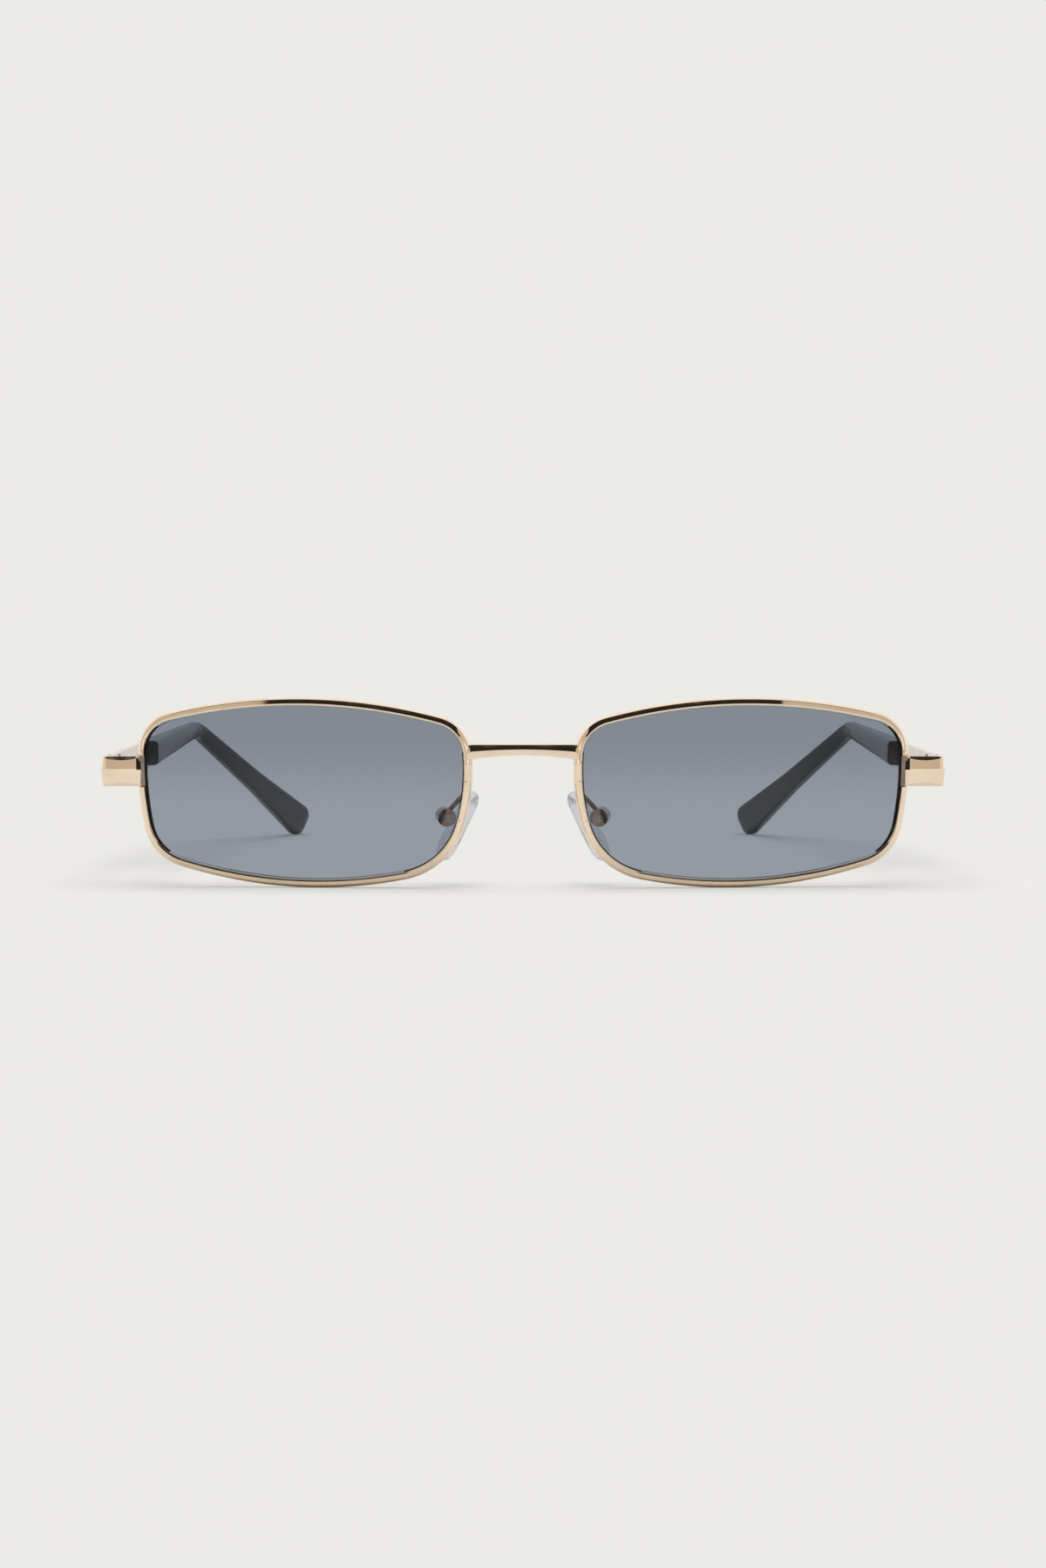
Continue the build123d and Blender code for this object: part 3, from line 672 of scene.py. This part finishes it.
# Temple arms: flat metal strips in a paler, slightly rosy plating that is brushed rather than polished.
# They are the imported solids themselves.
temple_plating = handled_material(
    "temple_plating",
    grain=2400.0,
    film=180.0,
    depth=0.01,
    colours=((0.73, 0.628, 0.552), (0.69, 0.59, 0.515)),
    roughness=(0.13, 0.20),
    Metallic=1.0,
)
finish_pair("temple_arm", temple_plating)

# Small screws of plain steel, for the rims, hinges and pads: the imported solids, a little dull from
# the screwdriver.
screw_steel = handled_material(
    "screw_steel",
    grain=6000.0,
    film=900.0,
    depth=0.03,
    colours=((0.56, 0.54, 0.51), (0.40, 0.38, 0.35)),
    roughness=(0.18, 0.32),
    Metallic=1.0,
)
for piece in ("rim_screw", "hinge_screw", "pad_screw"):
    finish_pair(piece, screw_steel)


# Lenses: flat grey sun lenses of tinted plastic, made darker towards the top by painted shade. Each
# has a V edge that sits in the rim's groove; towards the temple and at the lower nasal corner that
# edge is painted near-black as shade.
def join_clear(tree, output, surface, colour):
    """Joins a clear surface to the output. Its shadow is only as dark as its colour."""
    plain = add_node(tree, "ShaderNodeBsdfTransparent", Color=colour)
    paths = add_node(tree, "ShaderNodeLightPath")
    seen = mix_shaders(tree, paths.outputs["Is Shadow Ray"], surface, plain)
    tree.links.new(seen.outputs[0], output.inputs[0])


# Painted shade: the lens colour darkens from the lower tint to the top one between these heights.
tint_top_painted_shade = (0.268, 0.306, 0.362)
tint_low = (0.337, 0.376, 0.436)
shade_from, shade_to = 26.5 * mm, 11 * mm
lens_tint_shaded_top, tree, output = new_material("lens_tint_shaded_top")
place = add_node(
    tree, "ShaderNodeSeparateXYZ", Vector=add_node(tree, "ShaderNodeTexCoord").outputs["Object"]
)
tint_and_painted_shade = mix_colours(tree, edge_mask(tree, place.outputs["Z"], shade_from, shade_to), tint_top_painted_shade, tint_low)
mask, _ = marked(tree, grain=1500.0, film=40.0, depth=0.0)
glass = add_node(
    tree,
    "ShaderNodeBsdfPrincipled",
    Base_Color=tint_and_painted_shade,
    Roughness=spread(tree, mask, 0.0, 0.008),
    IOR=1.35,
    Transmission_Weight=1.0,
)
join_clear(tree, output, glass, tint_and_painted_shade)
# Painted shade on the lens edge: near-black where the rim's groove shades it.
painted_edge_shade = handled_material(
    "painted_edge_shade",
    grain=5000.0,
    film=900.0,
    depth=0.05,
    colours=((0.030, 0.020, 0.015), (0.050, 0.036, 0.028)),
    roughness=(0.35, 0.5),
)
dark_temple, dark_nasal, dark_low = -0.6, 0.2, -0.35
lens_rings = ((1.53 * mm, 0.4 * mm), (0.91 * mm, 1.2 * mm), (1.53 * mm, 2.0 * mm))
for hand, flip in (("right", False), ("left", True)):
    outwards = [outward_at(eye_line, index) for index in range(0, stations, 2)]
    rings = [
        [eye_point(Vector(spot) - outward * inset, depth) for spot, outward in zip(eye_line[::2], outwards)]
        for inset, depth in lens_rings
    ]
    lens = skin(hand + "_sun_lens", flipped(rings, flip), smooth_angle=20)
    lens.data.materials.append(lens_tint_shaded_top)
    lens.data.materials.append(painted_edge_shade)
    # Edge faces towards the temple and at the lower nasal corner get the painted shade.
    for face in lens.data.polygons:
        outward = outwards[face.index % len(outwards)]
        dark = outward.x < dark_temple or (outward.x > dark_nasal and outward.y < dark_low)
        face.material_index = int(len(face.vertices) == 4 and dark)
    stand_in(lens, hand + "_lens", "front")

# Temple sleeves: black plastic, smooth with a soft shine, pushed over the temples' metal cores. Each
# runs straight, bends once over the ear and twists slowly to a deeper, rounded tip.
sleeve_black = handled_material(
    "sleeve_black",
    grain=1800.0,
    film=90.0,
    depth=0.001,
    colours=((0.009, 0.010, 0.012), (0.010, 0.011, 0.013)),
    roughness=(0.20, 0.215),
    IOR=1.7,
)
up_axis = Vector((0, 0, 1))
hinge_end = Vector((-70.258, -55.994, 19.42))
over_ear = Vector((-65.008, 32.12, 23.3))
tip_end = Vector((-46.308, 66.52, 1.95))
bare_length = 35.8
mouth_drop = 0.33
ear_radius = 7.1
sleeve_mouth = hinge_end + (over_ear - hinge_end).normalized() * bare_length - up_axis * mouth_drop
front_leg, back_leg = over_ear - sleeve_mouth, tip_end - over_ear
ear_turn = front_leg.angle(back_leg)
ear_start = front_leg.length - ear_radius * math.tan(ear_turn / 2)
ear_stop = ear_start + ear_radius * ear_turn
run_length = ear_stop + back_leg.length - ear_radius * math.tan(ear_turn / 2)
halfway_down = (ear_stop + run_length) / 2
sleeve_heights = ((0, 4.5), (ear_start, 3.05), (ear_stop, 3.05), (halfway_down, 4.15), (run_length, 6.8))
sleeve_thicknesses = ((0, 4.1), (ear_start, 2.5), (run_length, 2.6))
sleeve_corner = 0.85
sleeve_corner_steps = 8
sleeve_twist = 9.5
sleeve_stations = 110
mouth_round = 0.3
tip_round = 2.8
tip_stations = 14
tip_last = 0.995
tip_corner_less = 0.45
tip_thick_less = 0.7


def on_run(station):
    """Point and direction on the sleeve's middle line, in millimetres from its mouth."""
    ahead, back = front_leg.normalized(), back_leg.normalized()
    if station <= ear_start:
        return sleeve_mouth + ahead * station, ahead
    if station >= ear_stop:
        return tip_end - back * (run_length - station), back
    toward = (back - ahead * ahead.dot(back)).normalized()
    turn = (station - ear_start) / ear_radius
    start = sleeve_mouth + ahead * ear_start
    spot = start + ahead * ear_radius * math.sin(turn) + toward * ear_radius * (1 - math.cos(turn))
    return spot, ahead * math.cos(turn) + toward * math.sin(turn)


def along_table(table, station):
    """The value at a station, on straight lines between the table's rows."""
    for (first, low), (last, high) in zip(table, table[1:]):
        if station <= last:
            return low + (high - low) * (station - first) / (last - first)
    return table[-1][1]


def sleeve_ring(station, corner, less_tall, less_thick):
    """One rounded section of the sleeve, trimmed on each side."""
    spot, ahead = on_run(station)
    level = ahead.cross(up_axis).normalized()
    twist = math.radians(sleeve_twist) * max(0.0, station - ear_stop) / (run_length - ear_stop)
    inward = level * math.cos(twist) - level.cross(ahead) * math.sin(twist)
    tallward = ahead.cross(inward)
    half_thick = along_table(sleeve_thicknesses, station) / 2 - less_thick
    half_tall = along_table(sleeve_heights, station) / 2 - less_tall
    ring = []
    for quarter, (side, rise) in enumerate(((1, 1), (-1, 1), (-1, -1), (1, -1))):
        for step in range(sleeve_corner_steps):
            turn = math.pi / 2 * (quarter + step / (sleeve_corner_steps - 1))
            out = side * (half_thick - corner) + corner * math.cos(turn)
            over = rise * (half_tall - corner) + corner * math.sin(turn)
            ring.append((spot + inward * out + tallward * over) * mm)
    return ring


sleeve_rings = []
for share in (0, 0.35, 0.7, 1):
    trim = mouth_round * (1 - math.sqrt(1 - (1 - share) ** 2))
    sleeve_rings.append(sleeve_ring(mouth_round * share, sleeve_corner - trim, trim, trim))
tip_start = run_length - tip_round
for index in range(1, sleeve_stations + 1):
    station = mouth_round + (tip_start - mouth_round) * index / sleeve_stations
    sleeve_rings.append(sleeve_ring(station, sleeve_corner, 0, 0))
for index in range(1, tip_stations + 1):
    share = math.sin(math.pi / 2 * index / tip_stations) * tip_last
    trim = 1 - math.sqrt(1 - share**2)
    corner = sleeve_corner - tip_corner_less * trim
    sleeve_rings.append(
        sleeve_ring(tip_start + share * tip_round, corner, tip_round * trim, tip_thick_less * trim)
    )
for hand, flip in (("right", False), ("left", True)):
    sleeve = skin(hand + "_sleeve_tip", flipped(sleeve_rings, flip), smooth_angle=40)
    sleeve.data.materials.append(sleeve_black)
    stand_in(sleeve, hand + "_temple_sleeve", hand + "_temple")

# Nose pads: soft clear plastic, a little hazy and faintly blue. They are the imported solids, with the
# fine grain of their mould.
pad_tint = (0.76, 0.78, 0.83, 1)
pad_clear, tree, output = new_material("pad_clear")
mask, normal = marked(tree, grain=2400.0, film=300.0, depth=0.03)
soft = add_node(
    tree,
    "ShaderNodeBsdfPrincipled",
    Base_Color=pad_tint,
    Roughness=spread(tree, mask, 0.24, 0.32),
    IOR=1.12,
    Transmission_Weight=1.0,
    Normal=normal,
)
join_clear(tree, output, soft, pad_tint)
finish_pair("nose_pad", pad_clear)
